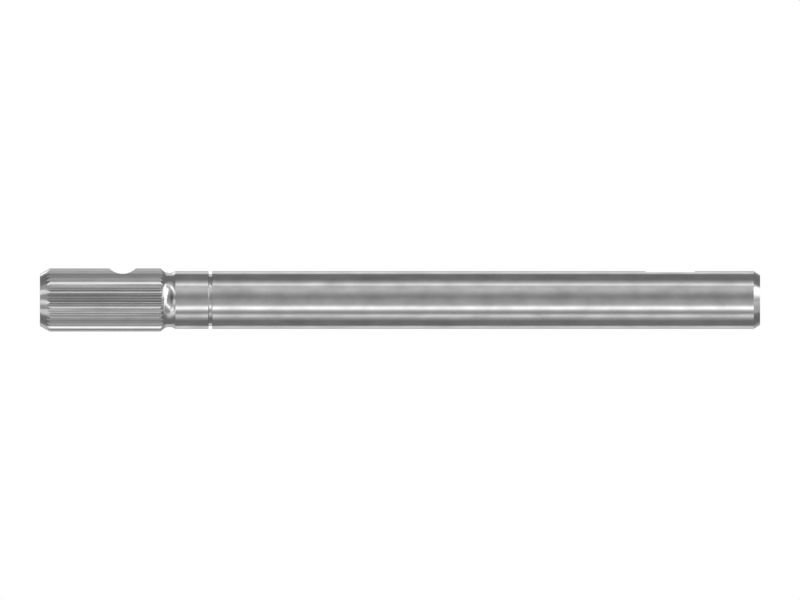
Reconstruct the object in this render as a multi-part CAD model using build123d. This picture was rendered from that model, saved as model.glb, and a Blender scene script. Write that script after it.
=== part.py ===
from build123d import *
from math import asin, cos, radians, sin, sqrt, tan
import os

# A steering shaft made from one steel bar. It lies along X with its serrated end at X = 0 and its
# axis on the X axis, so the keyway and the pinch-bolt notch face up, towards +Z. All sizes are in
# millimetres, and angles are in degrees from the shaft's axis unless a comment says otherwise.

# The ground bar.
shaft_length = 250.0
shank_diameter = 20.0

# The serration, which slides into the clamp of a steering joint. With these lands the flanks stand
# at 45 degrees to the middle of each space.
tooth_count = 36
tip_diameter = 22.0
tooth_depth = 0.71
tip_land = 0.29
root_land = 0.27
serration_length = 41.9
lead_chamfer_length = 3.5
lead_chamfer_angle = 30.0

# The relief behind the teeth: a straight run-out, then a round groove up to the journal. Its
# depth is from the journal.
runout_angle = 45.0
relief_depth = 0.65
relief_radius = 3.5

# The bearing journal, and the groove for the ring that keeps the bearing on it.
journal_length = 11.5
ring_groove_width = 1.25
ring_groove_depth = 1.0
ring_groove_corner_radius = 0.2

# The plain end, which carries the wheel hub.
end_chamfer_length = 2.2
end_chamfer_angle = 32.0

# The notch that the clamp's pinch bolt passes through. Its depth is from the tooth tips.
notch_from_end = 28.7
notch_radius = 6.5
notch_depth = 1.9

# The seat of a half-round key. Its depth is from the crown of the shank.
keyway_from_end = 31.2
keyway_width = 5.0
keyway_depth = 5.5
keyway_cutter_diameter = 19.0

# The centre holes that the bar was turned between.
centre_mouth_diameter = 5.3
centre_pilot_diameter = 2.5
centre_depth = 5.5
centre_cone_angle = 30.0
drill_point_angle = 59.0

# How far a cutter runs past the surface that it enters through.
overrun = 1.0

shank_radius = shank_diameter / 2
tip_radius = tip_diameter / 2
root_radius = tip_radius - tooth_depth
relief_bottom = shank_radius - relief_depth
ring_groove_bottom = shank_radius - ring_groove_depth

# The relief's arc touches the run-out line and ends where it meets the ground journal.
runout_drop = tip_radius - relief_bottom - relief_radius * (1 - cos(radians(runout_angle)))
runout_length = runout_drop / tan(radians(runout_angle))
relief_centre_x = serration_length + runout_length + relief_radius * sin(radians(runout_angle))
relief_centre_r = relief_bottom + relief_radius
relief_half_chord = sqrt(relief_radius**2 - (relief_centre_r - shank_radius) ** 2)
journal_start = relief_centre_x + relief_half_chord
ring_groove_start = journal_start + journal_length
ring_groove_end = ring_groove_start + ring_groove_width


def turned_blank():
    """The bar with every round feature on it, before the teeth, the notch and the keyway."""
    lead_face_radius = tip_radius - lead_chamfer_length * tan(radians(lead_chamfer_angle))
    end_face_radius = shank_radius - end_chamfer_length * tan(radians(end_chamfer_angle))
    runout_end = (serration_length + runout_length, tip_radius - runout_drop)
    serrated_end = Polyline(
        (0, 0),
        (0, lead_face_radius),
        (lead_chamfer_length, tip_radius),
        (serration_length, tip_radius),
        runout_end,
    )
    relief = ThreePointArc(
        runout_end,
        (relief_centre_x, relief_bottom),
        (journal_start, shank_radius),
    )
    journal = Line((journal_start, shank_radius), (ring_groove_start, shank_radius))
    ring_groove = FilletPolyline(
        (ring_groove_start, shank_radius),
        (ring_groove_start, ring_groove_bottom),
        (ring_groove_end, ring_groove_bottom),
        (ring_groove_end, shank_radius),
        radius=ring_groove_corner_radius,
    )
    plain_end = Polyline(
        (ring_groove_end, shank_radius),
        (shaft_length - end_chamfer_length, shank_radius),
        (shaft_length, end_face_radius),
        (shaft_length, 0),
        (0, 0),
    )
    outline = Curve() + [serrated_end, relief, journal, ring_groove, plain_end]
    return revolve(make_face(outline), axis=Axis.X)


def tooth_spaces():
    """The gaps between the teeth, as straight-sided bars that run out in the relief groove."""
    floor_angle = asin(root_land / 2 / root_radius)
    mouth_angle = radians(180 / tooth_count) - asin(tip_land / 2 / tip_radius)
    floor_x, floor_y = root_radius * cos(floor_angle), root_radius * sin(floor_angle)
    mouth_x, mouth_y = tip_radius * cos(mouth_angle), tip_radius * sin(mouth_angle)
    flank_slope = (mouth_y - floor_y) / (mouth_x - floor_x)
    outer_x, outer_y = mouth_x + overrun, mouth_y + overrun * flank_slope
    space = Polygon(
        (floor_x, -floor_y),
        (outer_x, -outer_y),
        (outer_x, outer_y),
        (floor_x, floor_y),
        align=None,
    )
    spaces = Sketch() + PolarLocations(0, tooth_count) * space
    section = Plane.YZ.offset(-overrun) * spaces
    return extrude(section, amount=relief_centre_x + overrun)


def pinch_bolt_notch():
    """The round-bottomed notch that crosses the top of the serration."""
    floor_height = tip_radius - notch_depth
    place = Pos(notch_from_end, 0, floor_height + notch_radius) * Rot(X=90)
    return place * Cylinder(notch_radius, tip_diameter + 2 * overrun)


def keyway():
    """The slot that a disc cutter sinks straight down into the top of the shank."""
    cutter_radius = keyway_cutter_diameter / 2
    floor_height = shank_radius - keyway_depth
    place = Pos(shaft_length - keyway_from_end, 0, floor_height + cutter_radius) * Rot(X=90)
    return place * Cylinder(cutter_radius, keyway_width)


def centre_hole():
    """A centre hole in the end face at X = 0: a cone for the lathe's centre, then a drilled pilot."""
    mouth, pilot = centre_mouth_diameter / 2, centre_pilot_diameter / 2
    cone_length = (mouth - pilot) / tan(radians(centre_cone_angle))
    point_length = pilot / tan(radians(drill_point_angle))
    half_section = Polyline(
        (0, 0),
        (0, mouth),
        (cone_length, pilot),
        (centre_depth, pilot),
        (centre_depth + point_length, 0),
        close=True,
    )
    return revolve(make_face(half_section), axis=Axis.X)


def steering_shaft():
    """The finished shaft, cut in the order that a workshop would."""
    shaft = turned_blank() - tooth_spaces() - pinch_bolt_notch() - keyway()
    shaft -= centre_hole()
    shaft -= Pos(shaft_length, 0, 0) * Rot(Z=180) * centre_hole()
    shaft.label = "steering_shaft"
    return shaft


os.makedirs("parts", exist_ok=True)
export_step(steering_shaft(), "parts/steering_shaft.step")
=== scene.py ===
"""The looks of a turned, serrated and ground steering shaft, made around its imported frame.

The shaft is one steel bar. It lies along X, with the face of its serrated end at the origin and its
notch and keyway facing up, towards +Z. Sizes are in metres, written as millimetres times MM, and
angles are in radians, written as degrees times DEGREE, apart from those of the room's glows.

The bar is spun from a half-section. Its tooth spaces, notch and keyway are cut by tools that one
node tree places, and every surface then gets the finish that its tool leaves.
"""

import logging
import math
from dataclasses import dataclass, field
from enum import Enum

import bpy
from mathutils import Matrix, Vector

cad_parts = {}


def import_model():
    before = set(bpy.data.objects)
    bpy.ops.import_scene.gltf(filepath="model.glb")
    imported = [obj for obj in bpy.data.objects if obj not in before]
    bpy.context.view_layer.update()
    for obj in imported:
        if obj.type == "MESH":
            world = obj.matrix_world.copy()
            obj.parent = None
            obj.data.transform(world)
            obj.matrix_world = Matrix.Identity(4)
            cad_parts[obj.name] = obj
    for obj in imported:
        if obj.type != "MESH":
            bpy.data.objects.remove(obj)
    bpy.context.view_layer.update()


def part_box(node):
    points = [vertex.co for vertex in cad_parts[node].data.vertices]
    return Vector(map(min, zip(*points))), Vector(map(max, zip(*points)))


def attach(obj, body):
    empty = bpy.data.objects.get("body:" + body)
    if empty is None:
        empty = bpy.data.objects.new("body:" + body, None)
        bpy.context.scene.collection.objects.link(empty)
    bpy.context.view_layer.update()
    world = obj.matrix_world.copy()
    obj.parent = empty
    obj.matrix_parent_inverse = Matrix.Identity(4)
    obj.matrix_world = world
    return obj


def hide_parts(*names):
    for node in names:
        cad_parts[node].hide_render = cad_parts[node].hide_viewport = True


MM = 0.001
DEGREE = math.pi / 180
ORIGIN = (0.0, 0.0, 0.0)
WHITE = (1.0, 1.0, 1.0, 1.0)
FRAME_NODE = "steering_shaft"

# Points this close are merged where a solid's faces meet.
SEAM = 0.001 * MM

# The kind of group socket that holds each type of value.
VALUE_SOCKETS = {float: "Float", int: "Int", tuple: "Vector"}

# The places of a mix node's two operands and of its result.
MIX_SOCKETS = {"FLOAT": (2, 3, 0), "RGBA": (6, 7, 2)}

log = logging.getLogger(FRAME_NODE)

Point = tuple[float, float]
Socket = bpy.types.NodeSocket


def grey(level: float) -> tuple[float, float, float, float]:
    """Gives a neutral colour of one level, from 0 to 1."""
    return (level, level, level, 1.0)


def put_in_scene(name: str, data: bpy.types.ID) -> bpy.types.Object:
    """Makes an object at the origin and links it to the scene.

    Args:
        name: The object's name.
        data: Its mesh, light or camera.

    Returns:
        The object.
    """
    made = bpy.data.objects.new(name, data)
    bpy.context.scene.collection.objects.link(made)
    return made


@dataclass
class NodeWriter:
    """Writes nodes into one tree and links them.

    Attributes:
        tree: The node tree that the nodes go into.
    """

    tree: bpy.types.NodeTree

    @classmethod
    def group(cls, name: str, kind: str, takes: dict[str, object], gives: str) -> "NodeWriter":
        """Starts a node group with named inputs and one output.

        Args:
            name: The group's name.
            kind: What the group makes, Geometry or Shader.
            takes: Starting value of each input, or the socket's kind where it has none, by name.
            gives: The output's name. It's a geometry, or a number in a shader group.

        Returns:
            A writer on the empty group.
        """
        tree = bpy.data.node_groups.new(name, f"{kind}NodeTree")
        for label, start in takes.items():
            socket_kind = f"NodeSocket{VALUE_SOCKETS.get(type(start), start)}"
            socket = tree.interface.new_socket(label, in_out="INPUT", socket_type=socket_kind)
            if type(start) in VALUE_SOCKETS:
                socket.default_value = start
        given = "Geometry" if kind == "Geometry" else "Float"
        tree.interface.new_socket(gives, in_out="OUTPUT", socket_type=f"NodeSocket{given}")
        return cls(tree)

    @classmethod
    def anew(cls, owner: bpy.types.Material | bpy.types.World) -> "NodeWriter":
        """Clears the nodes of a material or a world.

        Args:
            owner: The material or the world.

        Returns:
            A writer on its empty tree.
        """
        owner.use_nodes = True
        owner.node_tree.nodes.clear()
        return cls(owner.node_tree)

    def add(
        self, kind: str, inputs: dict[str | int, object] | None = None, **settings: object
    ) -> bpy.types.Node:
        """Adds a node, sets it and links what feeds it.

        Args:
            kind: The node's type.
            inputs: What goes into each input, by name or place: a socket, a list of sockets or a value.
            **settings: The node's own properties.

        Returns:
            The new node.
        """
        node = self.tree.nodes.new(kind)
        for name, value in settings.items():
            setattr(node, name, value)
        for key, value in (inputs or {}).items():
            if isinstance(value, list):
                for source in value:
                    self.tree.links.new(source, node.inputs[key])
            elif isinstance(value, Socket):
                self.tree.links.new(value, node.inputs[key])
            else:
                node.inputs[key].default_value = value
        return node

    def first(
        self, kind: str, inputs: dict[str | int, object] | None = None, **settings: object
    ) -> Socket:
        """Adds a node in the same way, and gives its first output."""
        return self.add(kind, inputs, **settings).outputs[0]

    def math(self, operation: str, *values: Socket | float) -> Socket:
        """Works one number out of others."""
        return self.first("ShaderNodeMath", dict(enumerate(values)), operation=operation)

    def vector(self, operation: str, *values: Socket | tuple[float, float, float]) -> Socket:
        """Works one vector out of others."""
        return self.first("ShaderNodeVectorMath", dict(enumerate(values)), operation=operation)

    def reach(self, place: Socket, axes: tuple[float, float, float]) -> Socket:
        """Measures how far a place lies from the origin, along the axes that are given as 1."""
        flat = {0: self.vector("MULTIPLY", place, axes)}
        return self.add("ShaderNodeVectorMath", flat, operation="LENGTH").outputs["Value"]

    def mix(self, kind: str, share: Socket, start: object, end: object) -> Socket:
        """Mixes two numbers or colours, from the first at a share of 0 to the second at 1."""
        one, other, result = MIX_SOCKETS[kind]
        return self.add("ShaderNodeMix", {0: share, one: start, other: end}, data_type=kind).outputs[result]

    def arguments(self) -> bpy.types.NodeOutputs:
        """Gives the group's inputs, to read from inside it."""
        return self.tree.nodes.new("NodeGroupInput").outputs

    def result(self, value: Socket) -> bpy.types.NodeTree:
        """Links the group's output to the socket that feeds it, and gives the finished tree."""
        self.add("NodeGroupOutput", {0: value})
        return self.tree


@dataclass(frozen=True)
class Corner:
    """A corner of an outline.

    Attributes:
        x: Place along the outline's first axis.
        y: Place along its second axis.
        radius: Radius that breaks the corner's edge, or 0 to leave it as it is.
    """

    x: float
    y: float
    radius: float = 0.0

    def place(self) -> Vector:
        """Gives the corner as a vector."""
        return Vector((self.x, self.y))


def arc_points(centre: Point, radius: float, start: float, end: float, steps: int) -> list[Point]:
    """Places points along an arc in even steps, from its start angle to its end angle."""
    angles = (start + (end - start) * step / steps for step in range(steps + 1))
    return [(centre[0] + radius * math.cos(a), centre[1] + radius * math.sin(a)) for a in angles]


def round_corner(before: Corner, corner: Corner, after: Corner, guard: float) -> list[Point]:
    """Rounds one corner, with a guard point on each side that keeps the runs beside it flat.

    Args:
        before: The corner before it.
        corner: The corner to round.
        after: The corner after it.
        guard: How far each guard point lies from the end of the rounding.

    Returns:
        The points that take the corner's place.
    """
    widest_step = 12 * DEGREE
    most_of_run = 0.4
    guarded_run = 3
    here = corner.place()
    arriving, leaving = here - before.place(), after.place() - here
    way_in, way_out = arriving.normalized(), leaving.normalized()
    bend = arriving.angle(leaving)
    room = (most_of_run * arriving.length, most_of_run * leaving.length)
    reach = min(corner.radius * math.tan(bend / 2), *room)
    steps = max(2, math.ceil(bend / widest_step))
    start, end = here - way_in * reach, here + way_out * reach
    radius = reach / math.tan(bend / 2)
    centre = here + (way_out - way_in).normalized() * math.hypot(radius, reach)
    points = []
    for step in range(steps + 1):
        swing = math.sin(bend * (step / steps - 0.5)) / (2 * math.sin(bend / 2))
        chord = start.lerp(end, swing + 0.5)
        points.append(tuple(centre + (chord - centre).normalized() * radius))
    if arriving.length > guarded_run * (reach + guard):
        points.insert(0, tuple(start - way_in * guard))
    if leaving.length > guarded_run * (reach + guard):
        points.append(tuple(end + way_out * guard))
    return points


def rounded_outline(corners: list[Corner], guard: float) -> list[Point]:
    """Turns corners into an open outline, with every edge broken that has a radius.

    Args:
        corners: The corners in order. The first and the last stay as they are.
        guard: How far each guard point lies from the rounding it guards.

    Returns:
        The outline's points.
    """
    points = [(corners[0].x, corners[0].y)]
    for before, corner, after in zip(corners, corners[1:], corners[2:]):
        if corner.radius > 0:
            points += round_corner(before, corner, after, guard)
        else:
            points.append((corner.x, corner.y))
    return [*points, (corners[-1].x, corners[-1].y)]


def divide_runs(points: list[Point], longest: float) -> list[Point]:
    """Divides the long runs of an outline into even steps.

    Args:
        points: The outline's points.
        longest: The longest step to leave.

    Returns:
        The points, with more of them along the long runs.
    """
    divided = [points[0]]
    for start, end in zip(points, points[1:]):
        count = math.ceil(math.dist(start, end) / longest)
        for step in range(1, count + 1):
            share = step / count
            divided.append(tuple(a + (b - a) * share for a, b in zip(start, end)))
    return divided


@dataclass
class CentreHole:
    """The hole in each end face that the bar was turned between.

    Attributes:
        mouth_radius: Radius of the cone at the end face.
        pilot_radius: Radius of the drilled pilot.
        depth: Depth of the pilot's full diameter.
        cone_angle: Angle between the cone and the axis.
        point_angle: Angle between the drill's point and the axis.
        mouth_break: Radius that breaks the mouth's edge.
    """

    mouth_radius: float = 2.65 * MM
    pilot_radius: float = 1.25 * MM
    depth: float = 5.5 * MM
    cone_angle: float = 30 * DEGREE
    point_angle: float = 59 * DEGREE
    mouth_break: float = 0.12 * MM

    def corners(self) -> list[Corner]:
        """Draws the hole for a face at x = 0.

        Returns:
            Its corners, from its tip on the axis out to its mouth.
        """
        cone_length = (self.mouth_radius - self.pilot_radius) / math.tan(self.cone_angle)
        tip = self.depth + self.pilot_radius / math.tan(self.point_angle)
        return [
            Corner(tip, 0.0),
            Corner(self.depth, self.pilot_radius),
            Corner(cone_length, self.pilot_radius, self.mouth_break),
            Corner(0.0, self.mouth_radius, self.mouth_break),
        ]


@dataclass
class Relief:
    """The groove behind the teeth: a straight run-out, then an arc up to the journal.

    Attributes:
        start: Where the tooth tips end.
        tip_radius: Radius over the teeth.
        journal_radius: Radius of the journal.
        depth: Depth of the arc below the journal.
        radius: Radius of the arc.
        runout_angle: Angle between the run-out and the axis.
        edge_break: Radius that breaks the edge between the arc and the journal.
    """

    start: float
    tip_radius: float
    journal_radius: float
    depth: float = 0.65 * MM
    radius: float = 3.5 * MM
    runout_angle: float = 45 * DEGREE
    edge_break: float = 0.06 * MM

    def centre(self) -> Point:
        """Places the arc's centre where the run-out touches the arc.

        Returns:
            The centre's place along the axis, and its distance from it.
        """
        arc_rise = self.radius * (1 - math.cos(self.runout_angle))
        drop = self.tip_radius - (self.journal_radius - self.depth) - arc_rise
        runout = drop / math.tan(self.runout_angle)
        along = self.start + runout + self.radius * math.sin(self.runout_angle)
        return along, self.journal_radius - self.depth + self.radius

    def corners(self) -> list[Corner]:
        """Draws the arc.

        Returns:
            Its corners, from the run-out to where it meets the journal.
        """
        steps = 18
        along, out = self.centre()
        above = out - self.journal_radius
        first, last = -math.pi / 2 - self.runout_angle, -math.asin(above / self.radius)
        arc = arc_points((along, out), self.radius, first, last, steps)[:-1]
        end = along + math.sqrt(self.radius**2 - above**2)
        return [*(Corner(*point) for point in arc), Corner(end, self.journal_radius, self.edge_break)]


@dataclass
class RingGroove:
    """The groove for the ring that keeps the bearing on its journal.

    Attributes:
        width: Width of the groove.
        depth: Depth of the groove.
        floor_radius: Radius of its inner corners.
        lip_break: Radius that breaks its outer edges.
    """

    width: float = 1.25 * MM
    depth: float = 1.0 * MM
    floor_radius: float = 0.2 * MM
    lip_break: float = 0.11 * MM

    def corners(self, start: float, journal_radius: float) -> list[Corner]:
        """Draws the groove.

        Args:
            start: Where the journal ends.
            journal_radius: Radius of the journal.

        Returns:
            Its four corners.
        """
        end, floor = start + self.width, journal_radius - self.depth
        return [
            Corner(start, journal_radius, self.lip_break),
            Corner(start, floor, self.floor_radius),
            Corner(end, floor, self.floor_radius),
            Corner(end, journal_radius, self.lip_break),
        ]


@dataclass
class Serration:
    """The teeth that slide into the clamp of a steering joint.

    Attributes:
        tooth_count: Number of teeth.
        tip_radius: Radius over the teeth.
        tooth_depth: Depth of the spaces between the teeth.
        tip_land: Width of a tooth's top between sharp edges.
        root_land: Width of a space's floor between sharp edges.
        flank_bulge: How far a flank stands out from the line between its ends, at its middle.
        bulge_towards_foot: How much further it stands out near its foot than near its top, as a share.
        clocking: How far the spaces are turned about +X from straight up.
        length: Length of the teeth at their tips.
        chamfer_length: Length of the lead chamfer.
        chamfer_angle: Angle between the lead chamfer and the axis.
        tip_break: Radius that breaks the edges of a tooth's top.
        root_fillet: Radius in the corners of a space's floor.
        edge_break: Radius that breaks the round edges at both ends of the teeth.
    """

    tooth_count: int = 36
    tip_radius: float = 11.0 * MM
    tooth_depth: float = 0.71 * MM
    tip_land: float = 0.29 * MM
    root_land: float = 0.27 * MM
    flank_bulge: float = 0.0116 * MM
    bulge_towards_foot: float = 1.2
    clocking: float = -0.301 * DEGREE
    length: float = 41.9 * MM
    chamfer_length: float = 3.5 * MM
    chamfer_angle: float = 30 * DEGREE
    tip_break: float = 0.105 * MM
    root_fillet: float = 0.097 * MM
    edge_break: float = 0.12 * MM

    def corners(self) -> list[Corner]:
        """Draws the bar along the teeth, before the spaces are cut.

        Returns:
            Its corners, from the end face to the end of the tooth tips.
        """
        face_radius = self.tip_radius - self.chamfer_length * math.tan(self.chamfer_angle)
        return [
            Corner(0.0, face_radius, self.edge_break),
            Corner(self.chamfer_length, self.tip_radius, self.edge_break),
            Corner(self.length, self.tip_radius, self.edge_break),
        ]

    def half_space(self) -> list[Point]:
        """Draws one flank of a tooth space that faces +Z, in the plane across the axis.

        Returns:
            Points across and up, from the middle of the floor out past the tooth's tip.
        """
        rounded_share = 0.8
        overrun = 0.5 * MM
        guard = 0.04 * MM
        steps = 5
        root_radius = self.tip_radius - self.tooth_depth
        floor_height = math.sqrt(root_radius**2 - (self.root_land / 2) ** 2)
        mouth_angle = math.pi / self.tooth_count - math.asin(self.tip_land / 2 / self.tip_radius)
        foot = Vector((self.root_land / 2, floor_height))
        mouth = Vector((math.sin(mouth_angle), math.cos(mouth_angle))) * self.tip_radius
        flank = (mouth - foot).normalized()
        into_tooth = Vector((flank.y, -flank.x))
        start = foot + into_tooth * self.tip_break
        along = flank.dot(start)
        reach = (self.tip_radius - self.tip_break) ** 2 - start.length_squared
        centre = start + flank * (math.sqrt(along**2 + reach) - along)
        first = math.atan2(-into_tooth.y, -into_tooth.x)
        last = first + (math.atan2(centre.y, centre.x) - first) * rounded_share
        lip = arc_points(tuple(centre), self.tip_break, first, last, steps)
        past_tip = Vector(lip[-1]) + Vector((math.sin(last), -math.cos(last))) * self.tip_break
        outside = past_tip.normalized() * (self.tip_radius + overrun)
        flank_corners = [
            Corner(0.0, floor_height),
            Corner(foot.x, foot.y, self.root_fillet),
            *self.flank_curve(foot, Vector(lip[0]), into_tooth),
            Corner(*lip[0]),
        ]
        return [*rounded_outline(flank_corners, guard), *lip[1:], tuple(past_tip), tuple(outside)]

    def flank_curve(self, foot: Vector, top: Vector, into_tooth: Vector) -> list[Corner]:
        """Curves a flank slightly, as rolling leaves it.

        Args:
            foot: The flank's foot.
            top: Its top.
            into_tooth: The direction square to the flank, into the tooth.

        Returns:
            Points along the flank between its foot and its top.
        """
        steps = 5
        corners = []
        for share in (step / steps for step in range(1, steps)):
            towards_foot = 1 + self.bulge_towards_foot * (1 - 2 * share)
            bulge = 4 * share * (1 - share) * towards_foot * self.flank_bulge
            place = foot.lerp(top, share) - into_tooth * bulge
            corners.append(Corner(place.x, place.y))
        return corners

    def draw_space(self) -> bpy.types.Object:
        """Makes one face across the axis, the section of the tool that cuts a tooth space.

        Returns:
            The section's object, which is taken away once the teeth are cut.
        """
        right = self.half_space()[1:]
        outline = [*((-across, up) for across, up in reversed(right)), *right]
        mesh = bpy.data.meshes.new("tooth_space_section")
        mesh.from_pydata([(0.0, *point) for point in outline], [], [list(range(len(outline)))])
        return put_in_scene(mesh.name, mesh)


@dataclass
class MillingTool:
    """A round tool that lies across the shaft and sinks into its top.

    Attributes:
        along: Where the tool's axis crosses the shaft.
        floor_height: Height of the cut's floor above the shaft's axis.
        radius: The tool's radius.
        width: The tool's width across the shaft.
    """

    along: float
    floor_height: float
    radius: float
    width: float

    def place(self) -> tuple[float, float, float]:
        """Gives the middle of the tool."""
        return (self.along, 0.0, self.floor_height + self.radius)


@dataclass
class TurnedBar:
    """The bar with its round features on it.

    Attributes:
        length: Length over the end faces.
        shank_radius: Radius of the ground shank and journal.
        journal_length: Length from the relief to the ring groove.
        chamfer_length: Length of the plain end's chamfer.
        chamfer_angle: Angle between that chamfer and the axis.
        edge_break: Radius that breaks the plain end's edges.
        longest_step: Longest face along the bar.
        serration: The teeth.
        ring_groove: The groove beside the journal.
        centre_hole: The hole in each end face.
    """

    length: float = 250.0 * MM
    shank_radius: float = 10.0 * MM
    journal_length: float = 11.5 * MM
    chamfer_length: float = 2.2 * MM
    chamfer_angle: float = 32 * DEGREE
    edge_break: float = 0.06 * MM
    longest_step: float = 6.0 * MM
    serration: Serration = field(default_factory=Serration)
    ring_groove: RingGroove = field(default_factory=RingGroove)
    centre_hole: CentreHole = field(default_factory=CentreHole)

    def relief(self) -> Relief:
        """Gives the groove between the teeth and the journal."""
        return Relief(self.serration.length, self.serration.tip_radius, self.shank_radius)

    def half_section(self) -> list[Point]:
        """Draws the bar's half-section, from the axis in one centre hole to the axis in the other.

        Returns:
            Points along the axis and out from it.
        """
        guard = 0.05 * MM
        shank = self.shank_radius
        end_face_radius = shank - self.chamfer_length * math.tan(self.chamfer_angle)
        hole, relief = self.centre_hole.corners(), self.relief().corners()
        corners = [
            *hole,
            *self.serration.corners(),
            *relief,
            *self.ring_groove.corners(relief[-1].x + self.journal_length, shank),
            Corner(self.length - self.chamfer_length, shank, self.edge_break),
            Corner(self.length, end_face_radius, self.edge_break),
            *(Corner(self.length - c.x, c.y, c.radius) for c in reversed(hole)),
        ]
        return divide_runs(rounded_outline(corners, guard), self.longest_step)

    def draw(self) -> bpy.types.Object:
        """Makes the half-section's edges, in the upright plane through the axis.

        Returns:
            The half-section's object.
        """
        points = [(x, 0.0, r) for x, r in self.half_section()]
        edges = [(i, i + 1) for i in range(len(points) - 1)]
        mesh = bpy.data.meshes.new("machined_shaft_section")
        mesh.from_pydata(points, edges, [])
        return put_in_scene(mesh.name, mesh)


def lathe_tree() -> bpy.types.NodeTree:
    """Writes the tree that spins a half-section round the X axis into a closed solid.

    Returns:
        The tree.
    """
    half_step = 0.5
    takes = {"Half-Section": "Geometry", "Columns": 360}
    writer = NodeWriter.group("Lathe", "Geometry", takes, "Solid")
    given = writer.arguments()
    size = writer.add("GeometryNodeAttributeDomainSize", {"Geometry": given["Half-Section"]})
    points = size.outputs["Point Count"]
    around = writer.math("ADD", given["Columns"], 1.0)
    grid = writer.first("GeometryNodeMeshGrid", {"Vertices X": around, "Vertices Y": points})
    index = writer.first("GeometryNodeInputIndex")
    row = writer.math("FLOORED_MODULO", index, points)
    column = writer.math("DIVIDE", writer.math("ADD", index, half_step), points)
    turn = writer.math("DIVIDE", math.tau, given["Columns"])
    angle = writer.math("MULTIPLY", writer.math("FLOOR", column), turn)
    place = writer.first("GeometryNodeInputPosition")
    drawn = writer.first(
        "GeometryNodeSampleIndex",
        {"Geometry": given["Half-Section"], "Value": place, "Index": row},
        data_type="FLOAT_VECTOR",
        domain="POINT",
    )
    spinning = {"Vector": drawn, "Angle": angle}
    turned = writer.first("ShaderNodeVectorRotate", spinning, rotation_type="X_AXIS")
    wrapped = writer.first("GeometryNodeSetPosition", {"Geometry": grid, "Position": turned})
    closing = {"Geometry": wrapped, "Distance": SEAM}
    return writer.result(writer.first("GeometryNodeMergeByDistance", closing))


def round_pattern_tree() -> bpy.types.NodeTree:
    """Writes the tree that repeats a solid evenly round the X axis.

    Returns:
        The tree.
    """
    takes = {"Solid": "Geometry", "Count": 36, "Clocking": 0.0}
    writer = NodeWriter.group("Round Pattern", "Geometry", takes, "Solids")
    given = writer.arguments()
    points = writer.first("GeometryNodePoints", {"Count": given["Count"]})
    index = writer.first("GeometryNodeInputIndex")
    step = writer.math("DIVIDE", math.tau, given["Count"])
    turn = writer.math("MULTIPLY_ADD", index, step, given["Clocking"])
    rotation = writer.first("ShaderNodeCombineXYZ", {"X": turn})
    placing = {"Points": points, "Instance": given["Solid"], "Rotation": rotation}
    copies = writer.first("GeometryNodeInstanceOnPoints", placing)
    return writer.result(writer.first("GeometryNodeRealizeInstances", {"Geometry": copies}))


def prism_tree() -> bpy.types.NodeTree:
    """Writes the tree that draws one face out along the X axis into a closed solid.

    Returns:
        The tree.
    """
    takes = {"Section": "Geometry", "Start": 0.0, "Length": 10 * MM}
    writer = NodeWriter.group("Prism", "Geometry", takes, "Solid")
    given = writer.arguments()
    start = writer.first("ShaderNodeCombineXYZ", {"X": given["Start"]})
    face = writer.first("GeometryNodeTransform", {"Geometry": given["Section"], "Translation": start})
    drawing = {"Mesh": face, "Offset": (1.0, 0.0, 0.0), "Offset Scale": given["Length"]}
    drawn = writer.first("GeometryNodeExtrudeMesh", {**drawing, "Individual": False}, mode="FACES")
    back = writer.first("GeometryNodeFlipFaces", {"Mesh": face})
    both = writer.first("GeometryNodeJoinGeometry", {"Geometry": [drawn, back]})
    closing = {"Geometry": both, "Distance": SEAM}
    return writer.result(writer.first("GeometryNodeMergeByDistance", closing))


def milling_tool_tree() -> bpy.types.NodeTree:
    """Writes the tree that puts a round tool across the shaft.

    Returns:
        The tree.
    """
    takes = {"Place": ORIGIN, "Radius": 10 * MM, "Width": 10 * MM, "Facets": 240}
    writer = NodeWriter.group("Milling Tool", "Geometry", takes, "Solid")
    given = writer.arguments()
    sizes = {"Vertices": given["Facets"], "Radius": given["Radius"], "Depth": given["Width"]}
    upright = writer.first("GeometryNodeMeshCylinder", sizes, fill_type="NGON")
    lying = {"Geometry": upright, "Translation": given["Place"], "Rotation": (math.pi / 2, 0.0, 0.0)}
    return writer.result(writer.first("GeometryNodeTransform", lying))


class Cut(Enum):
    """The tool that left a face, as the number that the faces carry."""

    LATHE = 0
    TOOTH = 1
    NOTCH = 2
    KEYWAY = 3


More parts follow.
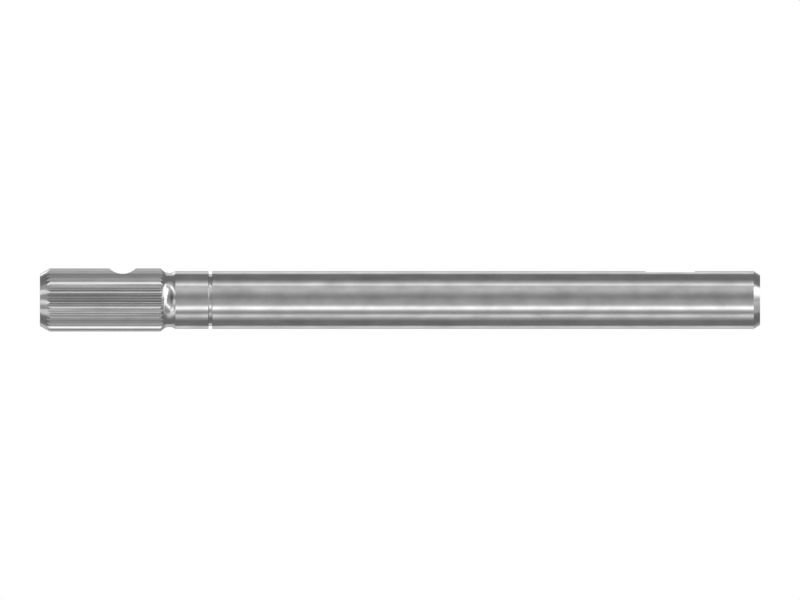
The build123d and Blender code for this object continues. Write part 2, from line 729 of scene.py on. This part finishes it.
class ShaftMachining:
    """The tree that turns, serrates and mills the shaft, and names each surface's finish.

    Attributes:
        milling_tool: The tree of the tool that cuts the notch and the keyway.
        writer: The tree's writer.
        given: The tree's inputs.
        tree: The finished tree.
    """

    TOOL_MARK = "cut_by"
    HALF_STEP = 0.5
    TAKES = {
        "Half-Section": "Geometry",
        "Columns": 360,
        "Shank Radius": 10 * MM,
        "Tooth Space": "Object",
        "Tooth Count": 36,
        "Tooth Clocking": 0.0,
        "Tooth Start": 0.0,
        "Tooth Run": 40 * MM,
        "Notch Place": ORIGIN,
        "Notch Radius": 10 * MM,
        "Notch Width": 20 * MM,
        "Keyway Place": ORIGIN,
        "Keyway Radius": 10 * MM,
        "Keyway Width": 6 * MM,
        "Sharp Angle": 30 * DEGREE,
        "Ground Finish": "Material",
        "Turned Finish": "Material",
        "Tooth Finish": "Material",
        "Notch Finish": "Material",
        "Keyway Finish": "Material",
    }

    def __init__(self) -> None:
        """Writes the tree and the groups that it uses."""
        self.milling_tool = milling_tool_tree()
        self.writer = NodeWriter.group("Machined Shaft", "Geometry", self.TAKES, "Shaft")
        self.given = self.writer.arguments()
        serrated = self.less(self.spun(), self.tooth_spaces())
        milled = self.less(serrated, [self.milled(Cut.NOTCH), self.milled(Cut.KEYWAY)])
        self.tree = self.writer.result(self.finished(milled))

    def made_by(self, tree: bpy.types.NodeTree, sizes: dict[str, Socket], cut: Cut) -> Socket:
        """Makes a solid, and writes on its faces which tool leaves them.

        Args:
            tree: The tree that makes the solid.
            sizes: What goes into each of its inputs, by name.
            cut: The tool.

        Returns:
            The marked solid.
        """
        solid = self.writer.first("GeometryNodeGroup", sizes, node_tree=tree)
        mark = {"Geometry": solid, "Name": self.TOOL_MARK, "Value": cut.value}
        kind = "GeometryNodeStoreNamedAttribute"
        return self.writer.first(kind, mark, data_type="INT", domain="FACE")

    def spun(self) -> Socket:
        """Spins the bar."""
        sizes = {name: self.given[name] for name in ("Half-Section", "Columns")}
        return self.made_by(lathe_tree(), sizes, Cut.LATHE)

    def tooth_spaces(self) -> Socket:
        """Places the tools that cut the tooth spaces.

        Returns:
            The tools' solids.
        """
        section = self.writer.add("GeometryNodeObjectInfo", {"Object": self.given["Tooth Space"]})
        run = {"Start": self.given["Tooth Start"], "Length": self.given["Tooth Run"]}
        drawing = {"Section": section.outputs["Geometry"], **run}
        space = self.writer.first("GeometryNodeGroup", drawing, node_tree=prism_tree())
        round_bar = {"Count": self.given["Tooth Count"], "Clocking": self.given["Tooth Clocking"]}
        return self.made_by(round_pattern_tree(), {"Solid": space, **round_bar}, Cut.TOOTH)

    def milled(self, cut: Cut) -> Socket:
        """Places the milling tool for one cut, whose inputs' names start with the cut's."""
        sizes = {size: self.given[f"{cut.name.title()} {size}"] for size in ("Place", "Radius", "Width")}
        return self.made_by(self.milling_tool, sizes, cut)

    def less(self, solid: Socket, tools: Socket | list[Socket]) -> Socket:
        """Cuts tools out of a solid."""
        pair, kind = {"Mesh 1": solid, "Mesh 2": tools}, "GeometryNodeMeshBoolean"
        return self.writer.first(kind, pair, operation="DIFFERENCE", solver="MANIFOLD")

    def finished(self, solid: Socket) -> Socket:
        """Smooths the round surfaces and gives each surface the finish that its tool leaves.

        Args:
            solid: The cut solid.

        Returns:
            The finished solid.
        """
        writer = self.writer
        edge_angle = writer.add("GeometryNodeInputMeshEdgeAngle").outputs["Unsigned Angle"]
        sharp = writer.math("GREATER_THAN", edge_angle, self.given["Sharp Angle"])
        for chosen, smooth, domain in ((True, True, "FACE"), (sharp, False, "EDGE")):
            shading = {"Geometry": solid, "Selection": chosen, "Shade Smooth": smooth}
            solid = writer.first("GeometryNodeSetShadeSmooth", shading, domain=domain)
        solid = writer.first("GeometryNodeRealizeInstances", {"Geometry": solid})
        tool = writer.first("GeometryNodeInputNamedAttribute", {"Name": self.TOOL_MARK}, data_type="INT")
        choices = {"Ground": True, "Turned": self.off_the_grinder(tool)}
        for cut in (Cut.TOOTH, Cut.NOTCH, Cut.KEYWAY):
            left_by_cut = writer.math("COMPARE", tool, float(cut.value), self.HALF_STEP)
            choices[cut.name.title()] = left_by_cut
        for name, chosen in choices.items():
            dressing = {"Selection": chosen, "Material": self.given[f"{name} Finish"]}
            solid = writer.first("GeometryNodeSetMaterial", {"Geometry": solid, **dressing})
        return solid

    def off_the_grinder(self, tool: Socket) -> Socket:
        """Finds the turned faces that the grinding wheel doesn't reach.

        Args:
            tool: The number of the tool that left a face.

        Returns:
            1 on those faces and 0 elsewhere.
        """
        clearance = 0.05 * MM
        least_slope = 0.1
        writer = self.writer
        out = writer.reach(writer.first("GeometryNodeInputPosition"), (0.0, 1.0, 1.0))
        ground_to = writer.math("SUBTRACT", self.given["Shank Radius"], clearance)
        low = writer.math("LESS_THAN", out, ground_to)
        normal = writer.first("GeometryNodeInputNormal")
        slope = writer.add("ShaderNodeSeparateXYZ", {"Vector": normal}).outputs["X"]
        sloping = writer.math("GREATER_THAN", writer.math("ABSOLUTE", slope), least_slope)
        turned = writer.math("LESS_THAN", tool, self.HALF_STEP)
        return writer.math("MULTIPLY", writer.math("MAXIMUM", low, sloping), turned)


class Lay(Enum):
    """The way that a tool's marks run over a surface."""

    ROUND = "round the axis"
    LENGTHWISE = "along the axis"
    WITH_CUTTER = "round the cutter's own axis"


def place_in_cells(writer: NodeWriter, given: bpy.types.NodeOutputs) -> Socket:
    """Measures the place on the surface in cells that lie along the shaft.

    Args:
        writer: A group's writer.
        given: The group's inputs, a cell's length and width among them.

    Returns:
        The place, as a number of cells each way.
    """
    place = writer.add("ShaderNodeTexCoord").outputs["Object"]
    sizes = {"X": given["Length"], "Y": given["Width"], "Z": given["Width"]}
    return writer.vector("DIVIDE", place, writer.first("ShaderNodeCombineXYZ", sizes))


def clouds_group() -> bpy.types.NodeTree:
    """Writes the group that spreads soft clouds over the steel, as handling and oil leave them.

    Returns:
        The group.
    """
    grain = {"Scale": 1.0, "Detail": 2.0, "Roughness": 0.45}
    levels = {"From Min": 0.25, "From Max": 0.75}
    takes = {"Length": 8 * MM, "Width": 5 * MM, "Seed": 0.0}
    writer = NodeWriter.group("Handling Clouds", "Shader", takes, "Cloud")
    given = writer.arguments()
    noise = writer.first(
        "ShaderNodeTexNoise",
        {"Vector": place_in_cells(writer, given), "W": given["Seed"], **grain},
        noise_dimensions="4D",
    )
    return writer.result(writer.first("ShaderNodeMapRange", {"Value": noise, **levels}))


def tool_marks_group() -> bpy.types.NodeTree:
    """Writes the group that draws a tool's fine parallel marks along one coordinate.

    Returns:
        The group.
    """
    half = 0.5
    takes = {"Across Marks": 0.0, "Pitch": 0.3 * MM, "Evenness": 0.5, "Seed": 0.0}
    writer = NodeWriter.group("Tool Marks", "Shader", takes, "Height")
    given = writer.arguments()
    turns = writer.math("DIVIDE", given["Across Marks"], given["Pitch"])
    swing = writer.math("SINE", writer.math("MULTIPLY", turns, math.tau))
    wave = writer.math("MULTIPLY_ADD", swing, half, half)
    grain = {"W": writer.math("ADD", turns, given["Seed"]), "Scale": 1.0, "Detail": 1.0}
    scattered = writer.first("ShaderNodeTexNoise", grain, noise_dimensions="1D")
    return writer.result(writer.mix("FLOAT", given["Evenness"], scattered, wave))


def scratches_group() -> bpy.types.NodeTree:
    """Writes the group that scatters thin, light scratches, most of them along the shaft.

    Returns:
        The group.
    """
    soft_edge = 0.06
    takes = {"Length": 6 * MM, "Width": 0.2 * MM, "Rarity": 0.7}
    writer = NodeWriter.group("Light Scratches", "Shader", takes, "Scratch")
    given = writer.arguments()
    grain = {"Vector": place_in_cells(writer, given), "Scale": 1.0, "Detail": 1.0}
    noise = writer.first("ShaderNodeTexNoise", grain)
    top = writer.math("ADD", given["Rarity"], soft_edge)
    levels = {"Value": noise, "From Min": given["Rarity"], "From Max": top}
    return writer.result(writer.first("ShaderNodeMapRange", levels))


@dataclass(frozen=True)
class SteelGroups:
    """The node groups that the steel's finishes share.

    Attributes:
        clouds: Soft clouds of tone.
        tool_marks: Fine parallel marks.
        scratches: Thin scratches.
    """

    clouds: bpy.types.NodeTree = field(default_factory=clouds_group)
    tool_marks: bpy.types.NodeTree = field(default_factory=tool_marks_group)
    scratches: bpy.types.NodeTree = field(default_factory=scratches_group)


@dataclass(frozen=True)
class SteelFinish:
    """A finish that one tool leaves on the steel.

    Attributes:
        name: The finish's name.
        lay: The way its marks run.
        tone: The steel's mean grey.
        cloud_depth: How far the clouds lighten and darken it, as a share of the tone.
        roughness: Mean roughness.
        roughness_range: How far the clouds change the roughness each way.
        mark_pitch: Distance from one tool mark to the next.
        mark_height: Height of the tool marks.
        evenness: 0 for scattered marks, as a wheel leaves, to 1 for an even feed.
        scratch_depth: Depth of the light scratches.
        chatter_depth: Depth of the small dents that the tool leaves where it chatters.
        cutter_axis: Where the cutter's axis crosses the shaft's upright plane.
        seed: Moves the patterns along.
    """

    name: str
    lay: Lay
    tone: float = 0.58
    cloud_depth: float = 0.16
    roughness: float = 0.16
    roughness_range: float = 0.02
    mark_pitch: float = 0.12 * MM
    mark_height: float = 0.0002 * MM
    evenness: float = 0.1
    scratch_depth: float = 0.0004 * MM
    chatter_depth: float = 0.0
    cutter_axis: Point = (0.0, 0.0)
    seed: float = 0.0

    CLOUD_SIZE = (8.0 * MM, 5.0 * MM)
    CHATTER_SIZE = (0.9 * MM, 0.9 * MM)
    GRAZING_TONE = 0.8

    def input_name(self) -> str:
        """Gives the name of the machining tree's input that takes the finish."""
        return self.name.replace("_", " ").title()

    def across_marks(self, writer: NodeWriter) -> Socket:
        """Works out a distance that grows from one tool mark to the next.

        Args:
            writer: The material's writer.

        Returns:
            The distance's socket.
        """
        place = writer.add("ShaderNodeTexCoord").outputs["Object"]
        split = writer.add("ShaderNodeSeparateXYZ", {"Vector": place}).outputs
        out = writer.reach(place, (0.0, 1.0, 1.0))
        if self.lay is Lay.ROUND:
            return writer.math("ADD", split["X"], out)
        if self.lay is Lay.LENGTHWISE:
            turn = writer.math("ARCTAN2", split["Y"], split["Z"])
            return writer.math("MULTIPLY_ADD", turn, out, out)
        axis = (self.cutter_axis[0], 0.0, self.cutter_axis[1])
        from_axis = writer.vector("SUBTRACT", place, axis)
        return writer.math("ADD", split["Y"], writer.reach(from_axis, (1.0, 0.0, 1.0)))

    def clouds(self, writer: NodeWriter, groups: SteelGroups, size: Point) -> Socket:
        """Spreads soft clouds of one length and width."""
        settings = {"Length": size[0], "Width": size[1], "Seed": self.seed}
        return writer.first("ShaderNodeGroup", settings, node_tree=groups.clouds)

    def tooled(self, writer: NodeWriter, groups: SteelGroups) -> Socket:
        """Presses the tool's marks, and the scratches and dents that the finish has, into the surface.

        Args:
            writer: The material's writer.
            groups: The groups that the finishes share.

        Returns:
            The surface's normal.
        """
        marking = {"Across Marks": self.across_marks(writer), "Pitch": self.mark_pitch}
        marking |= {"Evenness": self.evenness, "Seed": self.seed}
        marks = writer.first("ShaderNodeGroup", marking, node_tree=groups.tool_marks)
        heights = [(marks, self.mark_height)]
        if self.scratch_depth > 0:
            scratches = writer.first("ShaderNodeGroup", node_tree=groups.scratches)
            heights.append((scratches, -self.scratch_depth))
        if self.chatter_depth > 0:
            heights.append((self.clouds(writer, groups, self.CHATTER_SIZE), -self.chatter_depth))
        below = {}
        for height, distance in heights:
            pressing = {"Height": height, "Distance": abs(distance), "Strength": 1.0, **below}
            below = {"Normal": writer.first("ShaderNodeBump", pressing, invert=distance < 0)}
        return below["Normal"]

    def material(self, groups: SteelGroups) -> bpy.types.Material:
        """Builds the finish's material.

        Args:
            groups: The groups that the finishes share.

        Returns:
            The material.
        """
        material = bpy.data.materials.new(self.name)
        writer = NodeWriter.anew(material)
        cloud = self.clouds(writer, groups, self.CLOUD_SIZE)
        dark, light = grey(self.tone * (1 - self.cloud_depth)), grey(self.tone * (1 + self.cloud_depth))
        rough, smooth = self.roughness + self.roughness_range, self.roughness - self.roughness_range
        dulling = {"Value": cloud, "To Min": rough, "To Max": smooth}
        shader = writer.first(
            "ShaderNodeBsdfPrincipled",
            {
                "Base Color": writer.mix("RGBA", cloud, dark, light),
                "Metallic": 1.0,
                "Roughness": writer.first("ShaderNodeMapRange", dulling),
                "Specular Tint": grey(self.GRAZING_TONE),
                "Normal": self.tooled(writer, groups),
            },
        )
        writer.add("ShaderNodeOutputMaterial", {"Surface": shader})
        return material


@dataclass
class SteeringShaft:
    """The finished shaft: its sizes, its finishes and the piece that stands for the frame's node.

    Attributes:
        bar: The turned bar, with its teeth.
        notch: The tool that cuts the pinch-bolt notch.
        keyway: The tool that cuts the keyway.
        columns_per_tooth: Faces round the bar for each tooth.
    """

    bar: TurnedBar = field(default_factory=TurnedBar)
    notch: MillingTool = field(
        default_factory=lambda: MillingTool(
            along=28.7 * MM, floor_height=9.1 * MM, radius=6.5 * MM, width=24.0 * MM
        )
    )
    keyway: MillingTool = field(
        default_factory=lambda: MillingTool(
            along=218.8 * MM, floor_height=4.5 * MM, radius=9.5 * MM, width=5.0 * MM
        )
    )
    columns_per_tooth: int = 12

    PIECE_NAME = "machined_shaft"

    def finishes(self) -> list[SteelFinish]:
        """Gives the finish of each surface.

        Returns:
            The finishes, the two that a milling tool leaves last.
        """
        turned = SteelFinish(
            "turned_finish",
            Lay.ROUND,
            tone=0.54,
            roughness=0.17,
            mark_pitch=0.16 * MM,
            mark_height=0.0012 * MM,
            evenness=0.6,
            chatter_depth=0.013 * MM,
            seed=3.0,
        )
        tooth = SteelFinish(
            "tooth_finish",
            Lay.LENGTHWISE,
            tone=0.565,
            cloud_depth=0.06,
            roughness=0.145,
            roughness_range=0.01,
            mark_pitch=0.15 * MM,
            mark_height=0.00005 * MM,
            evenness=0.0,
            scratch_depth=0.0,
            seed=7.0,
        )
        finishes = [SteelFinish("ground_finish", Lay.ROUND), turned, tooth]
        milled = (("notch_finish", self.notch, 11.0), ("keyway_finish", self.keyway, 13.0))
        for name, tool, seed in milled:
            finish = SteelFinish(
                name,
                Lay.WITH_CUTTER,
                roughness=0.24,
                mark_pitch=0.3 * MM,
                mark_height=0.0020 * MM,
                evenness=0.3,
                cutter_axis=(tool.along, tool.place()[2]),
                seed=seed,
            )
            finishes.append(finish)
        return finishes

    def tree_values(self, tooth_space: bpy.types.Object) -> dict[str, object]:
        """Gives the value of each size that the machining tree takes.

        Args:
            tooth_space: The section of the tool that cuts a tooth space.

        Returns:
            The values, by the inputs' names.
        """
        overrun = 1.0 * MM
        teeth = self.bar.serration
        values = {
            "Columns": self.columns_per_tooth * teeth.tooth_count,
            "Shank Radius": self.bar.shank_radius,
            "Tooth Space": tooth_space,
            "Tooth Count": teeth.tooth_count,
            "Tooth Clocking": teeth.clocking,
            "Tooth Start": -overrun,
            "Tooth Run": self.bar.relief().centre()[0] + overrun,
        }
        for name, tool in (("Notch", self.notch), ("Keyway", self.keyway)):
            sizes = {"Place": tool.place(), "Radius": tool.radius, "Width": tool.width}
            values |= {f"{name} {size}": value for size, value in sizes.items()}
        return values

    def build(self, groups: SteelGroups) -> bpy.types.Object:
        """Machines the shaft and dresses it.

        Args:
            groups: The groups that the finishes share.

        Returns:
            The piece, which rides on the shaft's body.
        """
        section, tooth_space = self.bar.draw(), self.bar.serration.draw_space()
        values = self.tree_values(tooth_space)
        values |= {finish.input_name(): finish.material(groups) for finish in self.finishes()}
        mesh = self.machined(section, values)
        bpy.data.objects.remove(section)
        bpy.data.objects.remove(tooth_space)
        piece = put_in_scene(self.PIECE_NAME, mesh)
        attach(piece, "root")
        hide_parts(FRAME_NODE)
        return piece

    def machined(self, section: bpy.types.Object, values: dict[str, object]) -> bpy.types.Mesh:
        """Runs the machining tree on the half-section.

        Args:
            section: The bar's half-section.
            values: The value of each of the tree's inputs, by name.

        Returns:
            The shaft's plain mesh.
        """
        modifier = section.modifiers.new("machining", "NODES")
        modifier.node_group = ShaftMachining().tree
        for item in modifier.node_group.interface.items_tree:
            if item.in_out == "INPUT" and item.name in values:
                modifier[item.identifier] = values[item.name]
        depsgraph = bpy.context.evaluated_depsgraph_get()
        mesh = bpy.data.meshes.new_from_object(section.evaluated_get(depsgraph), depsgraph=depsgraph)
        section.modifiers.remove(modifier)
        mesh.name = self.PIECE_NAME
        return mesh


@dataclass(frozen=True)
class RoomGlow:
    """A soft patch of light or shade in the room, placed by the two angles at which it's mirrored.

    The upright angle goes round the shaft, from the camera's side upwards. The sideways angle goes from
    square across the shaft towards +X. Both are in degrees.

    Attributes:
        name: What glows.
        brightness: What it adds to the room, where 1 is white, or takes from it where it's under 0.
        upright: The upright angle of its middle.
        half_height: Half of the upright angle that it fills.
        height_fade: The angle over which it fades out above and below.
        sideways: The sideways angle of its middle.
        half_width: Half of the sideways angle that it fills.
        width_fade: The angle over which it fades out at its sides.
        turn: The angle by which it's turned on the wall.
    """

    name: str
    brightness: float
    upright: float
    half_height: float
    height_fade: float
    sideways: float = 0
    half_width: float = 180
    width_fade: float = 1
    turn: float = 0

    def share(self, writer: NodeWriter, away: Socket, half: float, fade: float) -> Socket:
        """Fades the glow out along one of its own directions.

        Args:
            writer: The world's writer.
            away: The angle from the glow's middle.
            half: Half of the angle that it fills, in degrees.
            fade: The angle over which it fades out, in degrees.

        Returns:
            1 inside the glow and 0 outside it.
        """
        edge = half * DEGREE
        span = {"Value": writer.math("ABSOLUTE", away), "From Min": edge, "From Max": edge + fade * DEGREE}
        limits = {"To Min": 1.0, "To Max": 0.0}
        return writer.first("ShaderNodeMapRange", span | limits, interpolation_type="SMOOTHSTEP")

    def light(self, writer: NodeWriter, angles: Socket, others: Socket | float) -> Socket:
        """Adds the glow to the room.

        Args:
            writer: The world's writer.
            angles: The direction's sideways and upright angle, as a vector.
            others: The brightness of the room without it.

        Returns:
            The brightness with it.
        """
        middle = (self.sideways * DEGREE, self.upright * DEGREE, 0.0)
        framing = {"Vector": angles, "Location": middle, "Rotation": (0.0, 0.0, self.turn * DEGREE)}
        own = writer.first("ShaderNodeMapping", framing, vector_type="TEXTURE")
        away = writer.add("ShaderNodeSeparateXYZ", {"Vector": own}).outputs
        across = self.share(writer, away["X"], self.half_width, self.width_fade)
        up = self.share(writer, away["Y"], self.half_height, self.height_fade)
        return writer.math("MULTIPLY_ADD", writer.math("MULTIPLY", across, up), self.brightness, others)


@dataclass
class Studio:
    """The pale floor, the white background, the light and the camera.

    Attributes:
        centre: The middle of the shaft.
        floor_height: Height of the floor under the shaft.
        view_width: Width of what the camera sees.
        room: Brightness of the room away from its glows.
    """

    centre: Vector
    floor_height: float
    view_width: float = 277.7 * MM
    room: float = 0.245

    # Each has its name and brightness, then three upright angles, three sideways ones and its turn.
    GLOWS = (
        RoomGlow("ceiling", 0.495, 50, 4, 40),
        RoomGlow("ceiling_lamp", 0.64, 65, 2, 4.5, turn=19),
        RoomGlow("ceiling_lamp_shade", -0.03, 54, 3, 5),
        RoomGlow("ceiling_lamp_rim", 0.15, 75, 0, 11),
        RoomGlow("ceiling_lamp_far_end", 1.2, 54, 3, 9, -31, 10, 16, 19),
        RoomGlow("room_in_front", 0.315, -20, 5, 40),
        RoomGlow("dark_doorway", -0.23, 20, 26, 20, -25, 12, 9),
        RoomGlow("front_lamp", 1.19, -27.6, 0.5, 11.5, 14, 20, 12, 19),
        RoomGlow("front_lamp_rim", 0.085, -35, 14, 8, 5, 26, 14),
        RoomGlow("front_lamp_shade", -0.04, -54, 4, 8, 3, 6, 8),
        RoomGlow("front_lamp_near_end", 0.55, -49, 3, 11, -19, 6, 11),
        RoomGlow("low_lamp", 0.73, -65.7, 1, 12, -28, 32, 26),
        RoomGlow("low_lamp_rim", 0.26, -78, 1, 13, -28, 32, 26),
        RoomGlow("low_lamp_near_end", 0.25, -66, 6, 14, -48, 14, 14),
        RoomGlow("low_lamp_dim_end", 0.28, -68, 4, 13, 34, 18, 12),
        RoomGlow("low_lamp_far_end", 1.15, -44, 3, 11, -34, 8, 12),
        RoomGlow("near_wall", 0.66, -11, 5, 15, -56, 9, 12),
        RoomGlow("front_lamp_near_corner", 0.35, -55, 4, 8, -11, 4, 4),
        RoomGlow("dark_shelf", -0.14, 68, 8, 8, -42, 14, 8),
        RoomGlow("near_wall_shelf", 0.4, 46, 3, 12, -58, 6, 9),
        RoomGlow("window", 1.8, 31, 41, 8, 46.5, 9.5, 5),
        RoomGlow("window_near_end", 1.7, 31, 8, 5, 31, 22, 6, -54),
        RoomGlow("window_low_end", 1.5, -20, 8, 8, 54, 4, 4),
        RoomGlow("window_far_end", 1.05, 60, 12, 52, 70, 8, 7),
        RoomGlow("far_wall", 0.32, -60, 12, 18, 72, 12, 14),
        RoomGlow("back_lamp", 1.2, 153, 5, 6, -15, 3, 5),
        RoomGlow("backdrop_above", 0.31, 147, 16.5, 5, -3, 13, 14),
        RoomGlow("backdrop_below", 0.32, -146, 16.5, 5, -2, 16, 14),
        RoomGlow("paper_above", 0.56, 146, 9, 8, -3, 11, 12),
        RoomGlow("paper_below", 0.4, -144, 10, 7, -2, 14, 12),
        RoomGlow("rear_lamp", 0.6, 157, 2, 13, 46, 16, 10),
        RoomGlow("rear_lamp_far_end", 0.5, 160, 3, 14, -46, 16, 10),
        RoomGlow("rear_table", 0.3, -152, 7, 16, 46, 16, 10),
        RoomGlow("rear_table_far_end", 0.3, -152, 7, 16, -46, 16, 10),
    )

    def build(self) -> None:
        """Sets up the whole studio."""
        self.lay_floor()
        self.hang_lamp()
        self.light_room()
        self.place_camera()
        bpy.context.scene.view_settings.view_transform = "Standard"

    def lay_floor(self) -> None:
        """Lays the pale floor, which keeps the shaft's shadow.

        It's a sheet that lets the room light the shaft from beneath, so neither shadow rays nor
        reflections stop at it.
        """
        reach = 3.0
        sheen = 0.6
        paper_tone = 0.9
        corners = [(x * reach, y * reach) for x, y in ((-1, -1), (1, -1), (1, 1), (-1, 1))]
        mesh = bpy.data.meshes.new("pale_floor")
        mesh.from_pydata([(*corner, self.floor_height) for corner in corners], [], [(0, 1, 2, 3)])
        material = bpy.data.materials.new("pale_floor")
        writer = NodeWriter.anew(material)
        paper = writer.first("ShaderNodeBsdfDiffuse", {"Color": grey(paper_tone)})
        glow = writer.first("ShaderNodeEmission", {"Color": WHITE, "Strength": 1.0})
        seen = self.seen_rays(writer, "Camera", "Glossy", "Transmission")
        share = writer.math("MULTIPLY", seen, sheen)
        mixed = writer.first("ShaderNodeMixShader", {0: share, 1: paper, 2: glow})
        writer.add("ShaderNodeOutputMaterial", {"Surface": mixed})
        mesh.materials.append(material)
        floor = put_in_scene("pale_floor", mesh)
        floor.visible_shadow = False
        floor.visible_glossy = False

    def seen_rays(self, writer: NodeWriter, *kinds: str) -> Socket:
        """Tells some kinds of rays from the rest.

        Args:
            writer: The writer of the tree that needs it.
            *kinds: The kinds of rays.

        Returns:
            1 for rays of those kinds, and 0 for the rest.
        """
        rays = writer.add("ShaderNodeLightPath").outputs
        seen, *others = (rays[f"Is {kind} Ray"] for kind in kinds)
        for other in others:
            seen = writer.math("MAXIMUM", seen, other)
        return seen

    def hang_lamp(self) -> None:
        """Hangs the soft lamp overhead that gives the shaft its shadow."""
        size = 0.5
        height = 0.8
        forward = height / 3
        brightness = 0.8
        lamp = bpy.data.lights.new("overhead_lamp", "AREA")
        lamp.shape = "SQUARE"
        lamp.size = size
        lamp.energy = brightness * math.pi * size**2
        holder = put_in_scene("overhead_lamp", lamp)
        holder.location = self.centre + Vector((0.0, -forward, height))
        aim = self.centre - holder.location
        holder.rotation_euler = aim.to_track_quat("-Z", "Y").to_euler()
        holder.visible_camera = False
        holder.visible_glossy = False

    def light_room(self) -> None:
        """Lights the room with its glows, and shows the camera plain white.

        Gloss sees the same white where it stands behind the shaft: the backdrop and paper glows.
        """
        world = bpy.data.worlds.new("studio_room")
        bpy.context.scene.world = world
        writer = NodeWriter.anew(world)
        direction = writer.add("ShaderNodeTexCoord").outputs["Generated"]
        split = writer.add("ShaderNodeSeparateXYZ", {"Vector": direction}).outputs
        towards_camera = writer.math("MULTIPLY", split["Y"], -1.0)
        upright = writer.math("ARCTAN2", split["Z"], towards_camera)
        sideways = writer.math("ARCSINE", split["X"])
        angles = writer.first("ShaderNodeCombineXYZ", {"X": sideways, "Y": upright})
        brightness = self.room
        for glow in self.GLOWS:
            brightness = glow.light(writer, angles, brightness)
            log.info("light %s", glow.name)
        seen = self.seen_rays(writer, "Camera", "Transmission")
        shown = writer.mix("FLOAT", seen, brightness, 1.0)
        background = writer.first("ShaderNodeBackground", {"Color": shown, "Strength": 1.0})
        writer.add("ShaderNodeOutputWorld", {"Surface": background})

    def place_camera(self) -> None:
        """Places the camera square to the shaft, as the photograph was taken."""
        distance = 0.6
        camera = bpy.data.cameras.new("side_camera")
        camera.type = "ORTHO"
        camera.ortho_scale = self.view_width
        holder = put_in_scene("side_camera", camera)
        holder.location = self.centre + Vector((0.0, -distance, 0.0))
        holder.rotation_euler = (math.pi / 2, 0.0, 0.0)
        bpy.context.scene.camera = holder


def main() -> None:
    """Builds the shaft and its studio, and reports each piece."""
    logging.basicConfig(level=logging.INFO, format="%(name)s: %(message)s")
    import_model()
    low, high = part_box(FRAME_NODE)
    piece = SteeringShaft().build(SteelGroups())
    piece.data.calc_loop_triangles()
    log.info("piece %s, %d triangles", piece.name, len(piece.data.loop_triangles))
    middle = Vector(((low.x + high.x) / 2, 0.0, 0.0))
    Studio(middle, low.z).build()


if __name__ == "__main__":
    main()
